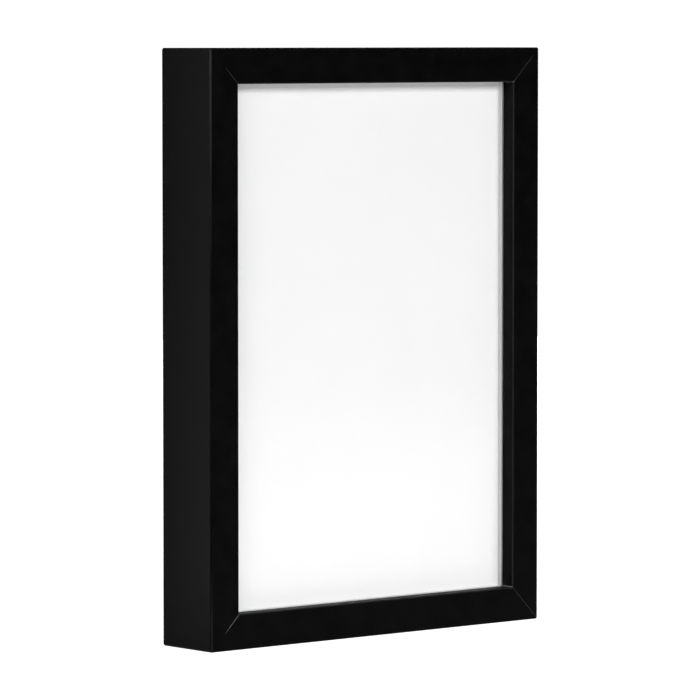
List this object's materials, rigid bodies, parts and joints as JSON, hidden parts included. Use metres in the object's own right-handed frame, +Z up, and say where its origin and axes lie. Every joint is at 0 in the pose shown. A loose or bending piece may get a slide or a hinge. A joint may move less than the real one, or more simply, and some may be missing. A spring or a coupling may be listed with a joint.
{
  "type": "floating frame",
  "caption": "Deep portrait picture frame with mitred black rails, glazing set back behind a front lip, a white board held off the glass, and a screwed-in back with hangers.",
  "frame": {"origin": "centre of the bottom rail's underside, half way through the rails' depth", "axes": "+Z up, +X to the right as the viewer faces the front, +Y towards the back"},
  "size_m": [0.239, 0.0457, 0.326],
  "materials": {
    "rail_paint": "wood moulding with satin black paint",
    "clear_glass": "clear float glass, arrised edges",
    "white_strip": "matt white foam board strip",
    "white_board": "smooth matt white museum board",
    "spacer_card": "matt white foam board",
    "hardboard": "pressed hardboard, rough side out",
    "nail_steel": "bare steel",
    "button_steel": "bright zinc plate",
    "hanger_steel": "nickel plate",
    "screw_steel": "zinc plate",
    "pad_rubber": "soft matt rubber"
  },
  "bodies": {
    "frame": {"back_panel": "hardboard", "corner_v_nails": "nail_steel", "float_board": "white_board", "front_spacer_bottom": "white_strip", "front_spacer_left": "white_strip", "front_spacer_right": "white_strip", "front_spacer_top": "white_strip", "glazing": "clear_glass", "hanger_screws": "screw_steel", "hanger_strap_left": "hanger_steel", "hanger_strap_right": "hanger_steel", "rail_bottom": "rail_paint", "rail_left": "rail_paint", "rail_right": "rail_paint", "rail_top": "rail_paint", "rear_spacer_bottom": "spacer_card", "rear_spacer_left": "spacer_card", "rear_spacer_right": "spacer_card", "rear_spacer_top": "spacer_card", "turn_button_screws": "screw_steel", "wall_pad_left": "pad_rubber", "wall_pad_right": "pad_rubber"},
    "turn_button_bottom": {"turn_button_bottom": "button_steel"},
    "turn_button_top": {"turn_button_top": "button_steel"},
    "turn_button_left_upper": {"turn_button_left_upper": "button_steel"},
    "turn_button_left_lower": {"turn_button_left_lower": "button_steel"},
    "turn_button_right_upper": {"turn_button_right_upper": "button_steel"},
    "turn_button_right_lower": {"turn_button_right_lower": "button_steel"},
    "hanger_ring_left": {"hanger_ring_left": "hanger_steel"},
    "hanger_ring_right": {"hanger_ring_right": "hanger_steel"}
  },
  "joints": [
    {"name": "turn_button_bottom_turn", "type": "hinge", "parent": "frame", "child": "turn_button_bottom", "pos_m": [0, 0.021, 0.0088], "axis": [0, 1, 0], "range_deg": [-90, 90]},
    {"name": "turn_button_top_turn", "type": "hinge", "parent": "frame", "child": "turn_button_top", "pos_m": [0, 0.021, 0.3172], "axis": [0, 1, 0], "range_deg": [-90, 90]},
    {"name": "turn_button_left_upper_turn", "type": "hinge", "parent": "frame", "child": "turn_button_left_upper", "pos_m": [-0.1107, 0.021, 0.215], "axis": [0, 1, 0], "range_deg": [-90, 90]},
    {"name": "turn_button_left_lower_turn", "type": "hinge", "parent": "frame", "child": "turn_button_left_lower", "pos_m": [-0.1107, 0.021, 0.111], "axis": [0, 1, 0], "range_deg": [-90, 90]},
    {"name": "turn_button_right_upper_turn", "type": "hinge", "parent": "frame", "child": "turn_button_right_upper", "pos_m": [0.1107, 0.021, 0.215], "axis": [0, 1, 0], "range_deg": [-90, 90]},
    {"name": "turn_button_right_lower_turn", "type": "hinge", "parent": "frame", "child": "turn_button_right_lower", "pos_m": [0.1107, 0.021, 0.111], "axis": [0, 1, 0], "range_deg": [-90, 90]},
    {"name": "hanger_ring_left_swing", "type": "hinge", "parent": "frame", "child": "hanger_ring_left", "pos_m": [-0.111, 0.02303, 0.262], "axis": [1, 0, 0], "range_deg": [0, 180]},
    {"name": "hanger_ring_right_swing", "type": "hinge", "parent": "frame", "child": "hanger_ring_right", "pos_m": [0.111, 0.02303, 0.262], "axis": [1, 0, 0], "range_deg": [0, 180]}
  ]
}
